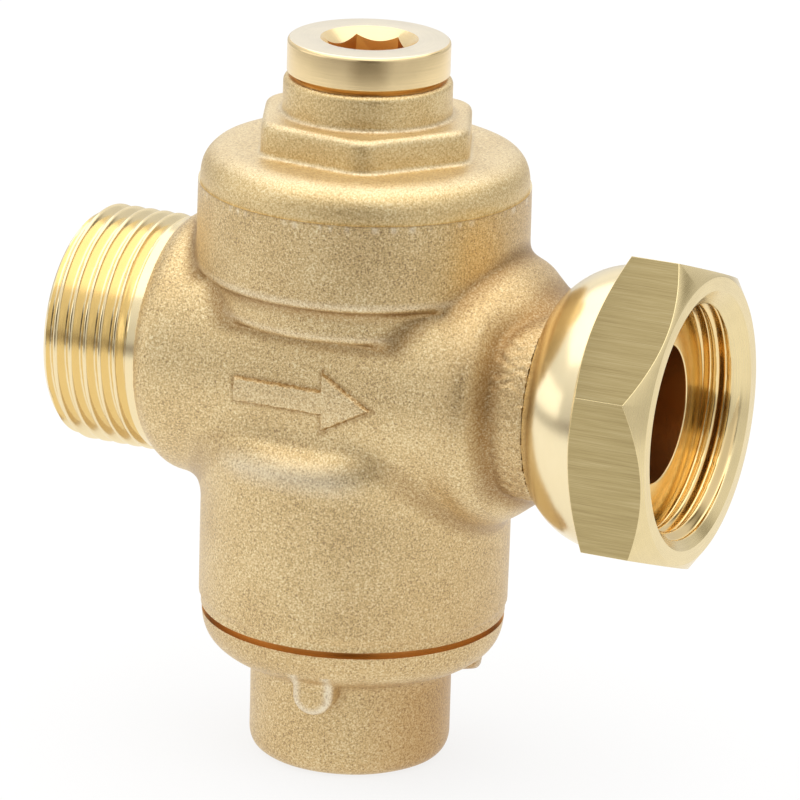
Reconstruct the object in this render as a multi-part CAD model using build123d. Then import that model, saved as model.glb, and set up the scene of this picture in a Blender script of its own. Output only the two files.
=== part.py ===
from build123d import *
from math import cos, radians
import os

# Water pressure regulator, direct acting, with a balanced piston valve.
# X is the flow from inlet (-X) to outlet (+X), Z is up, and the origin is the middle
# of the flat foot under the bottom cap. All sizes are in millimetres.

# Main place
flow_height = 44.5          # flow axis above the foot

# Clearances, each on the radius
thread_gap = 0.05           # a screwed piece in its bore
slide_gap = 0.05            # a piston in its bore
spin_gap = 0.08             # the swivel nut on its tailpiece
seal_gap = 0.05             # a seal in its groove and in its bore
end_gap = 0.1               # between flat faces of pieces that move apart
place_tolerance = 0.01      # for picking out an edge by its place

# Pipe thread G 3/4
pipe_thread_radius = 13.22
inlet_thread_length = 11.6
inlet_bore_radius = 8.25
inlet_bore_depth = 17.6
inlet_chamfer = 0.8

# Forged body, outside
lower_step = 1.02           # the upper body stands this much outside the lower one
lower_edge_trim = 0.25      # off the lower body's radius, at its lower edge
lower_edge_height = 1.2
waist_half = 7.0            # flow axis to where the round body stands out, both ways
band_step = 1.62            # upper body's side to the narrow band under it
band_height = 4.0
upper_radius = 18.12        # also sets how far the inlet and outlet stand out
upper_height = 9.8
barrel_inlet_radius = 14.8  # cross barrel at the inlet end
barrel_outlet_radius = 14.8
barrel_inlet_stand = 1.68   # upper body's side to the barrel's end at the inlet
barrel_outlet_stand = 0.98
inlet_cone_length = 1.3     # barrel's end to the shoulder behind the thread
outlet_cone_length = 4.0    # barrel's end to the spigot
shoulder_radius = 13.35     # cast shoulder behind the inlet thread
spigot_radius = 11.4
spigot_length = 1.6
lower_blend = 1.5           # fillets between the barrel and the round body
upper_blend = 0.9
inlet_blend = 3.0           # the barrel's rounded end at the inlet
outlet_blend = 2.0          # and at the outlet
spigot_blend = 1.0          # between the barrel and the spigot
edge_blend = 0.9

# Body, inside
cap_bore_radius = 13.6
cap_bore_depth = 7.2
lower_chamber_radius = 10.4
partition_below = 2.5       # flow axis to the underside of the seat partition
partition_above = 1.5
cylinder_radius = 11.5
bonnet_bore_radius = 14.0
bonnet_bore_depth = 5.75
passage_in_radius = 5.0
passage_in_back = 1.4               # starts this far inside the inlet bore's floor
passage_in_drop = 3.2               # below the flow axis, where it starts
passage_in_to = (-6.0, -11.5)       # along X, and up from the flow axis
passage_out_radius = 3.8
passage_out_back = 1.5
passage_out_rise = 1.0
passage_out_to = (7.0, 4.5)
outlet_drill_radius = 7.6
outlet_drill_end = 14.0

# Bottom cap
cap_height = 16.2           # foot to the rim of the flange
cap_groove = 0.75           # open groove between the cap's rim and the body
cap_flange_step = 0.34      # lower body's side to the flange's
cap_land_step = 1.5         # and to the floor of the groove
boss_radius = 11.15
boss_height = 11.3          # foot to the underside of the flange
foot_round = 2.2
dome_rise = 0.9             # slope of the flange's underside
dome_round = 3.4
boss_blend = 1.2
cap_spigot_length = 6.6
guide_radius = 8.6
guide_length = 10.2         # above the body's lower face
cap_pocket_radius = 10.4
cap_pocket_floor = 18.9
balance_bore_radius = 6.5
balance_floor = 5.8
lug_count = 3
lug_width = 4.4
lug_reach = 14.6
lug_bottom = 8.4
lug_angle = -82.0
cap_seal_thickness = 1.7
cap_seal_place = 1.4        # body's lower face to the middle of the seal

# Bonnet
bonnet_step = 0.24          # the upper body stands this much outside the bonnet
bonnet_height = 3.95
bonnet_round = 3.0
bonnet_spigot_length = 5.5
bonnet_hex = 22.5           # across flats
bonnet_hex_height = 3.8
bonnet_hex_angle = -67.0    # direction of one corner
bonnet_hex_round = 1.9
bonnet_hex_edge = 1.6
neck_radius = 9.19
neck_height = 4.0
spring_room_radius = 9.3
roof_height = 6.3           # body's top face to the roof of the spring room
plug_bore_radius = 7.0
bonnet_seal_thickness = 1.5
bonnet_seal_place = 1.2

# Cover plug
plug_radius = 8.84
plug_head_height = 3.7
plug_groove = 0.5
plug_land_radius = 8.0
plug_shank_length = 4.9
plug_chamfer = 0.45
key_size = 8.0              # hexagon key, across flats
key_depth = 5.7
key_mouth_radius = 5.32
key_corner_angle = -47.0
plug_seal_thickness = 1.0
plug_seal_place = 3.0

# Adjusting nut, washer and spring
adjuster_height = 4.0
adjuster_up = 0.7           # its top below the spring room's roof
washer_thickness = 1.2
washer_radius = 8.7
spring_radius = 7.3         # middle of the wire
spring_wire = 1.7
spring_turns = 4.0

# Sensing piston and stem
piston_bottom = 5.8         # above the flow axis
piston_height = 6.4
piston_cup_radius = 8.8
piston_floor = 2.2
piston_seal_thickness = 1.5
piston_seal_place = 3.6     # above the piston's underside
stem_radius = 3.2
stem_thread_radius = 2.5
stem_thread_length = 12.4
balance_hole_radius = 0.8
cross_hole_place = 2.2      # under the piston

# Valve
stroke = 2.3                # rest, fully open, to closed
seat_radius = 5.2
seat_ring_radius = 7.0
gasket_radius = 6.85
gasket_thickness = 2.1
gasket_proud = 0.4
clamp_radius = 4.4
clamp_thickness = 0.8
holder_radius = 7.6
holder_height = 3.8
holder_neck_radius = 4.2
balance_piston_height = 18.8
balance_cup_radius = 4.4
balance_cup_depth = 13.0
balance_seal_thickness = 1.0
balance_seal_place = 10.0   # above its lower end

# Outlet tailpiece
tail_bore_radius = 7.6
tail_shank_radius = 10.3
tail_flange_radius = 11.8
tail_flange_thickness = 2.3
tail_thread_radius = 9.7
tail_screwed_length = 7.0   # inside the spigot
tail_reach = 10.8           # spigot's end face to the flange's visible face
tail_seal_thickness = 1.0
tail_seal_place = 1.2

# Swivel nut
nut_hex = 31.85             # across flats
nut_reach = 15.65           # spigot's end face to the nut's front face
nut_hex_length = 8.75
nut_face_radius = 15.6
nut_front_chamfer = 2.05    # along the axis, at the corners
nut_rear_chamfer = 1.3
nut_corner_angle = 19.6     # nearest corner, up from the front
nut_back_gap = 0.2          # behind the nut, to the spigot
nut_dome_rear_radius = 12.55
nut_thread_radius = 13.3
nut_thread_back = 0.3       # flange's visible face to the thread's inner end
nut_relief_radius = 12.2
nut_mouth_radius = 14.1

# Sizes and places that follow from the ones above
bonnet_radius = upper_radius - bonnet_step
band_radius = upper_radius - band_step
lower_radius = upper_radius - lower_step
lower_edge_radius = lower_radius - lower_edge_trim
cap_flange_radius = lower_radius - cap_flange_step
cap_land_radius = lower_radius - cap_land_step
barrel_inlet_end = upper_radius + barrel_inlet_stand
barrel_outlet_end = upper_radius + barrel_outlet_stand
inlet_reach = barrel_inlet_end + inlet_cone_length + inlet_thread_length
outlet_reach = barrel_outlet_end + outlet_cone_length + spigot_length
inlet_floor = -(inlet_reach - inlet_bore_depth)
tail_inner_end = outlet_reach - tail_screwed_length
tail_flange_face = outlet_reach + tail_reach
nut_front = outlet_reach + nut_reach
nut_thread_end = tail_flange_face + nut_thread_back
body_bottom = cap_height + cap_groove
lower_top = flow_height - waist_half
band_bottom = flow_height + waist_half
upper_bottom = band_bottom + band_height
body_top = upper_bottom + upper_height
partition_bottom = flow_height - partition_below
partition_top = flow_height + partition_above
cylinder_top = body_top - bonnet_bore_depth
bonnet_top = body_top + bonnet_height
hex_top = bonnet_top + bonnet_hex_height
neck_top = hex_top + neck_height
roof = body_top + roof_height
plug_seat = neck_top + plug_groove
plug_top = plug_seat + plug_head_height
adjuster_top = roof - adjuster_up
washer_top = adjuster_top - adjuster_height
spring_top = washer_top - washer_thickness
piston_under = flow_height + piston_bottom
spring_bottom = piston_under + piston_floor
gasket_top = partition_bottom - stroke - end_gap
gasket_bottom = gasket_top - gasket_thickness
stem_shoulder = gasket_top + clamp_thickness
stem_end = stem_shoulder - stem_thread_length
holder_top = gasket_top - gasket_proud
balance_bottom = balance_floor + end_gap
balance_top = balance_bottom + balance_piston_height
shoulder_place = -(inlet_reach - inlet_thread_length)
nut_rear = nut_front - nut_hex_length
nut_back = outlet_reach + nut_back_gap

flow_axis = Axis((0, 0, flow_height), (1, 0, 0))


def outline(corners, place):
    # A closed outline on the X-Z plane; a third value rounds that corner
    spots = [place(*corner[:2]) for corner in corners]
    face = make_face(Polyline(*spots, close=True))
    for corner, spot in zip(corners, spots):
        if len(corner) > 2:
            face = fillet(face.vertices().sort_by_distance(spot)[0], corner[2])
    return face


def turned(*corners):
    # Corners are (radius, height), around the body axis
    return revolve(outline(corners, lambda r, z: (r, 0, z)), Axis.Z)


def turned_along(*corners):
    # Corners are (place along X, radius), around the flow axis
    return revolve(outline(corners, lambda x, r: (x, 0, flow_height + r)), flow_axis)


def seal_ring(inner, thickness, height):
    # A round ring seal lying flat
    return Pos(0, 0, height) * Torus(inner + thickness / 2, thickness / 2)


def seal_groove(inner, outer, thickness, height):
    # The square groove that holds such a ring
    half = thickness / 2 + seal_gap
    return turned((inner, height - half), (outer, height - half), (outer, height + half),
                  (inner, height + half))


def hexagon(across, corner_angle):
    return Rot(0, 0, corner_angle) * RegularPolygon(across / 2, 6, major_radius=False)


def slanted(radius, start, end):
    # A round passage between two points given along X and up from the flow axis
    path = Line((start[0], 0, flow_height + start[1]), (end[0], 0, flow_height + end[1]))
    return sweep(Plane(path @ 0, z_dir=path % 0) * Circle(radius), path)


def joined(base, added, blend):
    # Two forged shapes as one, with a fillet in the corner between them
    whole = base + added
    return fillet(new_edges(base, added, combined=whole), blend)


def flat_rings(shape, place):
    # The round edges that lie across the flow axis at one place along X
    rings = shape.edges().filter_by(GeomType.CIRCLE).filter_by(Plane.YZ)
    return rings.filter_by_position(Axis.X, place - place_tolerance, place + place_tolerance)


def make_body():
    lower = turned(
        (0, body_bottom), (lower_edge_radius, body_bottom),
        (lower_edge_radius, body_bottom + lower_edge_height),
        (lower_radius, body_bottom + lower_edge_height + lower_edge_trim),
        (lower_radius, lower_top), (0, lower_top))
    upper = turned(
        (0, upper_bottom), (upper_radius, upper_bottom), (upper_radius, body_top),
        (0, body_top))
    band = turned(
        (0, band_bottom), (band_radius, band_bottom, edge_blend), (band_radius, upper_bottom),
        (0, upper_bottom))
    barrel = turned_along(
        (shoulder_place, 0), (shoulder_place, shoulder_radius),
        (-barrel_inlet_end, barrel_inlet_radius), (barrel_outlet_end, barrel_outlet_radius),
        (outlet_reach - spigot_length, spigot_radius), (outlet_reach, spigot_radius),
        (outlet_reach, 0))
    forging = joined(barrel, lower, lower_blend)
    forging = joined(forging, upper, upper_blend) + band
    for place, blend in ((-barrel_inlet_end, inlet_blend), (barrel_outlet_end, outlet_blend),
                         (outlet_reach - spigot_length, spigot_blend)):
        forging = fillet(flat_rings(forging, place), blend)
    thread = turned_along(
        (-inlet_reach, 0), (-inlet_reach, pipe_thread_radius - inlet_chamfer),
        (-inlet_reach + inlet_chamfer, pipe_thread_radius),
        (shoulder_place, pipe_thread_radius), (shoulder_place, 0))
    chambers = turned(
        (0, body_bottom), (cap_bore_radius, body_bottom),
        (cap_bore_radius, body_bottom + cap_bore_depth),
        (lower_chamber_radius, body_bottom + cap_bore_depth),
        (lower_chamber_radius, partition_bottom), (seat_ring_radius, partition_bottom),
        (seat_ring_radius, partition_top), (cylinder_radius, partition_top),
        (cylinder_radius, cylinder_top), (bonnet_bore_radius, cylinder_top),
        (bonnet_bore_radius, body_top), (0, body_top))
    inlet = turned_along(
        (-inlet_reach, 0), (-inlet_reach, inlet_bore_radius),
        (inlet_floor, inlet_bore_radius), (inlet_floor, 0))
    outlet = turned_along(
        (outlet_drill_end, 0), (outlet_drill_end, outlet_drill_radius),
        (tail_inner_end - end_gap, outlet_drill_radius),
        (tail_inner_end - end_gap, tail_thread_radius + thread_gap),
        (outlet_reach, tail_thread_radius + thread_gap), (outlet_reach, 0))
    water_in = slanted(
        passage_in_radius, (inlet_floor - passage_in_back, -passage_in_drop), passage_in_to)
    water_out = slanted(
        passage_out_radius, (outlet_drill_end + passage_out_back, passage_out_rise),
        passage_out_to)
    return forging + thread - chambers - inlet - outlet - water_in - water_out


def make_bottom_cap():
    cap = turned(
        (0, 0), (boss_radius, 0, foot_round), (boss_radius, boss_height, boss_blend),
        (cap_flange_radius, boss_height + dome_rise, dome_round),
        (cap_flange_radius, cap_height),
        (cap_land_radius, cap_height), (cap_land_radius, body_bottom),
        (cap_bore_radius - thread_gap, body_bottom),
        (cap_bore_radius - thread_gap, body_bottom + cap_spigot_length),
        (0, body_bottom + cap_spigot_length))
    guide_top = body_bottom + guide_length
    guide = turned(
        (0, body_bottom), (guide_radius, body_bottom), (guide_radius, guide_top),
        (0, guide_top))
    pocket = turned(
        (guide_radius, cap_pocket_floor), (cap_pocket_radius, cap_pocket_floor),
        (cap_pocket_radius, guide_top), (guide_radius, guide_top))
    bore = turned(
        (0, balance_floor), (balance_bore_radius, balance_floor),
        (balance_bore_radius, guide_top), (0, guide_top))
    groove = seal_groove(
        cap_bore_radius - thread_gap - cap_seal_thickness - seal_gap, cap_bore_radius,
        cap_seal_thickness, body_bottom + cap_seal_place)
    rib_height = cap_height - lug_bottom
    rib_face = SlotCenterToCenter(rib_height - lug_width / 2, lug_width, rotation=90)
    rib = extrude(
        Plane((0, 0, lug_bottom + rib_height / 2), x_dir=(0, 1, 0), z_dir=(1, 0, 0)) * rib_face,
        lug_reach)
    within = turned((boss_radius - foot_round, 0), (cap_flange_radius, 0),
                    (cap_flange_radius, cap_height), (boss_radius - foot_round, cap_height))
    for turn in range(lug_count):
        cap += (Rot(0, 0, lug_angle + 360 / lug_count * turn) * rib) & within
    return cap + guide - pocket - bore - groove


def make_bonnet():
    shell = turned(
        (0, body_top - bonnet_spigot_length),
        (bonnet_bore_radius - thread_gap, body_top - bonnet_spigot_length),
        (bonnet_bore_radius - thread_gap, body_top), (bonnet_radius, body_top),
        (bonnet_radius, bonnet_top, bonnet_round), (0, bonnet_top))
    flats = extrude(hexagon(bonnet_hex, bonnet_hex_angle), bonnet_hex_height + 1)
    flats = fillet(flats.edges().filter_by(Axis.Z), bonnet_hex_round)
    flats = fillet(flats.faces().sort_by(Axis.Z)[-1].edges(), bonnet_hex_edge)
    flats = Pos(0, 0, bonnet_top - 1) * flats
    neck = turned((0, bonnet_top), (neck_radius, bonnet_top), (neck_radius, neck_top),
                  (0, neck_top))
    room = turned(
        (0, body_top - bonnet_spigot_length), (spring_room_radius, body_top - bonnet_spigot_length),
        (spring_room_radius, roof), (plug_bore_radius, roof), (plug_bore_radius, neck_top),
        (0, neck_top))
    groove = seal_groove(
        bonnet_bore_radius - thread_gap - bonnet_seal_thickness - seal_gap, bonnet_bore_radius,
        bonnet_seal_thickness, body_top - bonnet_seal_place)
    return shell + flats + neck - room - groove


def make_top_plug():
    shank_radius = plug_bore_radius - thread_gap
    plug = turned(
        (0, neck_top - plug_shank_length), (shank_radius, neck_top - plug_shank_length),
        (shank_radius, neck_top), (plug_land_radius, neck_top), (plug_land_radius, plug_seat),
        (plug_radius, plug_seat), (plug_radius, plug_top - plug_chamfer),
        (plug_radius - plug_chamfer, plug_top), (0, plug_top))
    socket = Pos(0, 0, plug_top - key_depth) * extrude(
        hexagon(key_size, key_corner_angle), key_depth)
    mouth = turned(
        (0, plug_top - key_mouth_radius), (key_mouth_radius, plug_top), (0, plug_top))
    groove = seal_groove(
        shank_radius - plug_seal_thickness - seal_gap, plug_bore_radius,
        plug_seal_thickness, neck_top - plug_seal_place)
    return plug - socket - mouth - groove


def make_adjusting_nut():
    ring = turned(
        (0, washer_top), (spring_room_radius - thread_gap, washer_top),
        (spring_room_radius - thread_gap, adjuster_top), (0, adjuster_top))
    key_hole = Pos(0, 0, washer_top) * extrude(
        hexagon(key_size, key_corner_angle), adjuster_height)
    return ring - key_hole


def make_spring():
    # Ground ends: the wire's path starts and ends half a wire inside
    pitch = (spring_top - spring_bottom - spring_wire) / spring_turns
    path = Helix(pitch, pitch * spring_turns, spring_radius)
    coil = sweep(Plane(path @ 0, z_dir=path % 0) * Circle(spring_wire / 2), path, is_frenet=True)
    return Pos(0, 0, spring_bottom + spring_wire / 2) * coil


def make_piston():
    top = piston_under + piston_height
    radius = cylinder_radius - slide_gap
    piston = turned(
        (0, stem_end), (stem_thread_radius, stem_end), (stem_thread_radius, stem_shoulder),
        (stem_radius, stem_shoulder), (stem_radius, piston_under), (radius, piston_under),
        (radius, top), (piston_cup_radius, top), (piston_cup_radius, spring_bottom),
        (0, spring_bottom))
    groove = seal_groove(
        radius - piston_seal_thickness - seal_gap, cylinder_radius,
        piston_seal_thickness, piston_under + piston_seal_place)
    cross = piston_under - cross_hole_place
    hole = turned((0, stem_end), (balance_hole_radius, stem_end), (balance_hole_radius, cross),
                  (0, cross))
    cross_hole = Pos(0, 0, cross) * Cylinder(
        balance_hole_radius, 2 * stem_radius, rotation=(90, 0, 0))
    return piston - groove - hole - cross_hole


def make_balance_piston():
    radius = balance_bore_radius - slide_gap
    bored = stem_thread_radius + thread_gap
    gasket_bore = gasket_radius + seal_gap
    piston = turned(
        (balance_hole_radius, balance_bottom), (radius, balance_bottom), (radius, balance_top),
        (holder_neck_radius, balance_top), (holder_neck_radius, holder_top - holder_height),
        (holder_radius, holder_top - holder_height), (holder_radius, holder_top),
        (gasket_bore, holder_top), (gasket_bore, gasket_bottom), (bored, gasket_bottom),
        (bored, stem_end), (balance_hole_radius, stem_end))
    cup = turned(
        (0, balance_bottom), (balance_cup_radius, balance_bottom),
        (balance_cup_radius, balance_bottom + balance_cup_depth),
        (0, balance_bottom + balance_cup_depth))
    groove = seal_groove(
        radius - balance_seal_thickness - seal_gap, balance_bore_radius,
        balance_seal_thickness, balance_bottom + balance_seal_place)
    return piston - cup - groove


def make_tailpiece():
    flange_back = tail_flange_face - tail_flange_thickness
    tail = turned_along(
        (tail_inner_end, tail_bore_radius), (tail_inner_end, tail_thread_radius),
        (outlet_reach, tail_thread_radius), (outlet_reach, tail_shank_radius),
        (flange_back, tail_shank_radius), (flange_back, tail_flange_radius),
        (tail_flange_face, tail_flange_radius), (tail_flange_face, tail_bore_radius))
    return tail - tail_ring(
        tail_thread_radius - tail_seal_thickness - seal_gap,
        tail_thread_radius + thread_gap, tail_seal_thickness / 2 + seal_gap)


def tail_ring(inner, outer, half):
    # The tailpiece's seal groove, a ring around the flow axis
    place = outlet_reach - tail_seal_place
    return turned_along((place - half, inner), (place + half, inner), (place + half, outer),
                        (place - half, outer))


def make_tail_seal():
    middle = tail_thread_radius - tail_seal_thickness / 2
    ring = Torus(middle, tail_seal_thickness / 2)
    return Pos(outlet_reach - tail_seal_place, 0, flow_height) * Rot(0, 90, 0) * ring


def make_union_nut():
    corner = nut_hex / 2 / cos(radians(30))
    face = Plane((nut_rear, 0, flow_height), x_dir=(0, 1, 0), z_dir=(1, 0, 0))
    prism = extrude(face * hexagon(nut_hex, 180 - nut_corner_angle), nut_hex_length)
    chamfers = turned_along(
        (nut_rear, 0), (nut_rear, nut_face_radius), (nut_rear + nut_rear_chamfer, corner),
        (nut_front - nut_front_chamfer, corner), (nut_front, nut_face_radius), (nut_front, 0))
    crown = (nut_rear, 0, flow_height + nut_face_radius)
    rim = (nut_back, 0, flow_height + nut_dome_rear_radius)
    dome_line = TangentArc(crown, rim, tangent=(-1, 0, 0))
    dome_rest = Polyline(rim, (nut_back, 0, flow_height), (nut_rear, 0, flow_height), crown)
    dome = revolve(make_face(dome_line + dome_rest), flow_axis)
    bore = turned_along(
        (nut_back, 0), (nut_back, tail_shank_radius + spin_gap),
        (tail_flange_face - tail_flange_thickness - end_gap, tail_shank_radius + spin_gap),
        (tail_flange_face - tail_flange_thickness - end_gap, nut_relief_radius),
        (nut_thread_end, nut_relief_radius), (nut_thread_end, nut_thread_radius),
        (nut_front - nut_mouth_radius + nut_thread_radius, nut_thread_radius),
        (nut_front, nut_mouth_radius), (nut_front, 0))
    return (prism & chamfers) + dome - bore


def tube(inner, outer, bottom, top):
    return turned((inner, bottom), (outer, bottom), (outer, top), (inner, top))


pieces = {
    "body": make_body(),
    "bottom_cap": make_bottom_cap(),
    "bottom_cap_oring": seal_ring(
        cap_bore_radius - thread_gap - cap_seal_thickness, cap_seal_thickness,
        body_bottom + cap_seal_place),
    "bonnet": make_bonnet(),
    "bonnet_oring": seal_ring(
        bonnet_bore_radius - thread_gap - bonnet_seal_thickness, bonnet_seal_thickness,
        body_top - bonnet_seal_place),
    "top_plug": make_top_plug(),
    "top_plug_oring": seal_ring(
        plug_bore_radius - thread_gap - plug_seal_thickness, plug_seal_thickness,
        neck_top - plug_seal_place),
    "adjusting_nut": make_adjusting_nut(),
    "spring_washer": tube(stem_radius, washer_radius, spring_top, washer_top),
    "main_spring": make_spring(),
    "piston": make_piston(),
    "piston_oring": seal_ring(
        cylinder_radius - slide_gap - piston_seal_thickness, piston_seal_thickness,
        piston_under + piston_seal_place),
    "gasket_washer": tube(
        stem_thread_radius + thread_gap, clamp_radius, gasket_top, stem_shoulder),
    "valve_gasket": tube(
        stem_thread_radius + thread_gap, gasket_radius, gasket_bottom, gasket_top),
    "balance_piston": make_balance_piston(),
    "balance_oring": seal_ring(
        balance_bore_radius - slide_gap - balance_seal_thickness, balance_seal_thickness,
        balance_bottom + balance_seal_place),
    "seat_ring": tube(seat_radius, seat_ring_radius, partition_bottom, partition_top),
    "outlet_tailpiece": make_tailpiece(),
    "tailpiece_oring": make_tail_seal(),
    "union_nut": make_union_nut(),
}

os.makedirs("parts", exist_ok=True)
for name, piece in pieces.items():
    export_step(piece, f"parts/{name}.step")
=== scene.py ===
from math import atan2, cos, pi, radians, sin, tan

import bmesh
import bpy
import numpy as np
from mathutils import Matrix, Vector


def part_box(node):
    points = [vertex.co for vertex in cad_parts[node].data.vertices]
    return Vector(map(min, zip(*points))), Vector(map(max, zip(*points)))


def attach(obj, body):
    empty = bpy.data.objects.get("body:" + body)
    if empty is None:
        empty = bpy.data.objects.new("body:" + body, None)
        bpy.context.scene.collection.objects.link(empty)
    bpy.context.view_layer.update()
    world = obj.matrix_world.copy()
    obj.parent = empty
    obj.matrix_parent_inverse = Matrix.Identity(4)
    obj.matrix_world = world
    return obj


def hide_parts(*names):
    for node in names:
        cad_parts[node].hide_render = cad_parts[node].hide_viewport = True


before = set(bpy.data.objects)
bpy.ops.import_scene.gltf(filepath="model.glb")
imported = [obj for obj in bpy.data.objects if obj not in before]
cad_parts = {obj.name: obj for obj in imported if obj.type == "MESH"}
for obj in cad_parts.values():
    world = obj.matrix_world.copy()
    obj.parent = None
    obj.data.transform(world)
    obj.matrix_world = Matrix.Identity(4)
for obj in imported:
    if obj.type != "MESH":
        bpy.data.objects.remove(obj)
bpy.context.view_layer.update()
mm = 0.001


# Places read from the frame, in millimetres

def corners(node):
    return [np.array(corner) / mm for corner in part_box(node)]


bodyLow, bodyHigh = corners("body")
nutLow, nutHigh = corners("union_nut")
capHigh = corners("bottom_cap")[1]
bonnetLow, bonnetHigh = corners("bonnet")
plugLow, plugHigh = corners("top_plug")
tailLow, tailHigh = corners("outlet_tailpiece")
seatLow, seatHigh = corners("seat_ring")

flow = (nutLow[2] + nutHigh[2]) / 2        # height of the flow axis
inletEnd, outletEnd = bodyLow[0], bodyHigh[0]
bodyBottom, bodyTop = bodyLow[2], bodyHigh[2]
neckTop = bonnetHigh[2]
print(f"frame: flow axis {flow:.2f}, body {bodyBottom:.2f} to {bodyTop:.2f}")


# Meshes, in millimetres

def placed(name, data):
    thing = bpy.data.objects.new(name, data)
    bpy.context.scene.collection.objects.link(thing)
    return thing


def meshPiece(name, points, faces):
    mesh = bpy.data.meshes.new(name)
    mesh.from_pydata((np.asarray(points) * mm).tolist(), [], faces)
    shell = bmesh.new()
    shell.from_mesh(mesh)
    if shell.calc_volume(signed=True) < 0:
        bmesh.ops.reverse_faces(shell, faces=shell.faces)
        shell.to_mesh(mesh)
    shell.free()
    return placed(name, mesh)


def rounded(profile, arcSteps=6):
    # Corners of a closed outline; a third value is the radius that rounds one
    loop = []
    for index, corner in enumerate(profile):
        here = Vector(corner[:2])
        if len(corner) < 3:
            loop.append(tuple(here))
            continue
        back = (Vector(profile[index - 1][:2]) - here).normalized()
        ahead = (Vector(profile[(index + 1) % len(profile)][:2]) - here).normalized()
        half = back.angle(ahead) / 2
        middle = here + (back + ahead).normalized() * corner[2] / sin(half)
        start = here + back * corner[2] / tan(half) - middle
        end = here + ahead * corner[2] / tan(half) - middle
        first = atan2(start.y, start.x)
        turn = (atan2(end.y, end.x) - first + pi) % (2 * pi) - pi
        for step in range(arcSteps + 1):
            angle = first + turn * step / arcSteps
            loop.append((middle.x + corner[2] * cos(angle), middle.y + corner[2] * sin(angle)))
    return loop


def spot(axis, along, radius, angle):
    # A point beside the flow axis (X) or the body's axis (Z)
    if axis == "X":
        return (along, radius * cos(angle), flow + radius * sin(angle))
    return (radius * cos(angle), radius * sin(angle), along)


drumRadius, drumHeight = 40.0, 9.0


def ringed(name, axis, rings, closed, steps):
    # Rings are (along, radius or radii); a ring of radius 0 is one point
    angles = np.arange(steps) * 2 * pi / steps
    points, rows = [], []
    for along, radius in rings:
        start = len(points)
        if np.isscalar(radius) and radius < 1e-6:
            points.append(spot(axis, along, 0, 0))
            rows.append([start] * steps)
            continue
        radii = np.broadcast_to(radius, steps)
        points += [spot(axis, along, r, angle) for r, angle in zip(radii, angles)]
        rows.append(list(range(start, start + steps)))
    faces = []
    pairs = zip(rows, rows[1:] + rows[:1]) if closed else zip(rows, rows[1:])
    for one, other in pairs:
        for i in range(steps):
            j = (i + 1) % steps
            face = list(dict.fromkeys((one[i], one[j], other[j], other[i])))
            if len(face) > 2:
                faces.append(face)
    return meshPiece(name, points, faces)


def turned(name, axis, profile, steps=240):
    # A solid turned from a closed outline of (place along the axis, radius)
    return ringed(name, axis, rounded(profile), True, steps)


def drum(name, low, high=None):
    # A wide disc that trims a piece above or below a level
    high = low + drumHeight if high is None else high
    return turned(name, "Z", [(low, 0), (low, drumRadius), (high, drumRadius), (high, 0)], 60)


def threaded(name, places, radiusAt, steps=240):
    # A solid along X whose radius changes with place and angle
    angles = np.arange(steps) * 2 * pi / steps
    rings = [(x, radiusAt(x, angles)) for x in places]
    rings = [(places[0], 0.0)] + rings + [(places[-1], 0.0)]
    return ringed(name, "X", rings, False, steps)


def prism(name, axis, across, cornerAngle, low, high):
    # A hexagonal bar, across its flats, with one corner at the given angle
    reach = across / 2 / cos(radians(30))
    angles = [radians(cornerAngle + 60 * side) for side in range(6)]
    points = [spot(axis, along, reach, angle) for along in (low, high) for angle in angles]
    sides = [(i, (i + 1) % 6, (i + 1) % 6 + 6, i + 6) for i in range(6)]
    return meshPiece(name, points, sides + [tuple(range(5, -1, -1)), tuple(range(6, 12))])


def rod(name, radius, start, end, steps=64):
    # A plain round bar between two points
    start, end = Vector(start), Vector(end)
    turn = Vector((0, 0, 1)).rotation_difference(end - start).to_matrix()
    rim = [turn @ Vector((radius * cos(2 * pi * i / steps), radius * sin(2 * pi * i / steps), 0))
           for i in range(steps)]
    points = [tuple(start + p) for p in rim] + [tuple(end + p) for p in rim]
    sides = [(i, (i + 1) % steps, (i + 1) % steps + steps, i + steps) for i in range(steps)]
    caps = [tuple(range(steps - 1, -1, -1)), tuple(range(steps, 2 * steps))]
    return meshPiece(name, points, sides + caps)


def settle(piece):
    # What the modifiers make becomes the mesh
    graph = bpy.context.evaluated_depsgraph_get()
    made = bpy.data.meshes.new_from_object(piece.evaluated_get(graph))
    piece.modifiers.clear()
    piece.data = made
    return piece


def combined(base, operation, *tools):
    for tool in tools:
        step = base.modifiers.new(operation, "BOOLEAN")
        step.operation = operation
        step.solver = "MANIFOLD"
        step.object = tool
        settle(base)
        bpy.data.objects.remove(tool)
    return base


def softened(piece, width, angle):
    # Narrow bevels on the sharp edges, where a machined edge catches the light
    shell = bmesh.new()
    shell.from_mesh(piece.data)
    bmesh.ops.dissolve_limit(shell, angle_limit=radians(0.4), verts=shell.verts, edges=shell.edges)
    shell.to_mesh(piece.data)
    shell.free()
    bevel = piece.modifiers.new("edges", "BEVEL")
    bevel.width = width * mm
    bevel.segments = 2
    bevel.limit_method = "ANGLE"
    bevel.angle_limit = radians(angle)
    return settle(piece)


def smooth(piece, angle=28):
    piece.data.shade_smooth()
    piece.data.set_sharp_from_angle(angle=radians(angle))
    return piece


# Forged shapes are fields of signed distance, blended where they meet

def unit(value):
    return np.clip(value, 0, 1)


def eased(share):
    return share * share * (3 - 2 * share)


def fromAxis(x, y):
    # Distance from the body's axis
    return np.sqrt(x * x + y * y)


def fromFlow(y, z):
    # Distance from the flow axis
    return np.sqrt(y * y + (z - flow) ** 2)


def softLow(a, b, width):
    near = np.maximum(width - np.abs(a - b), 0) / width
    return np.minimum(a, b) - near * near * width / 4


def softHigh(a, b, width):
    return -softLow(-a, -b, width)


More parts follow.
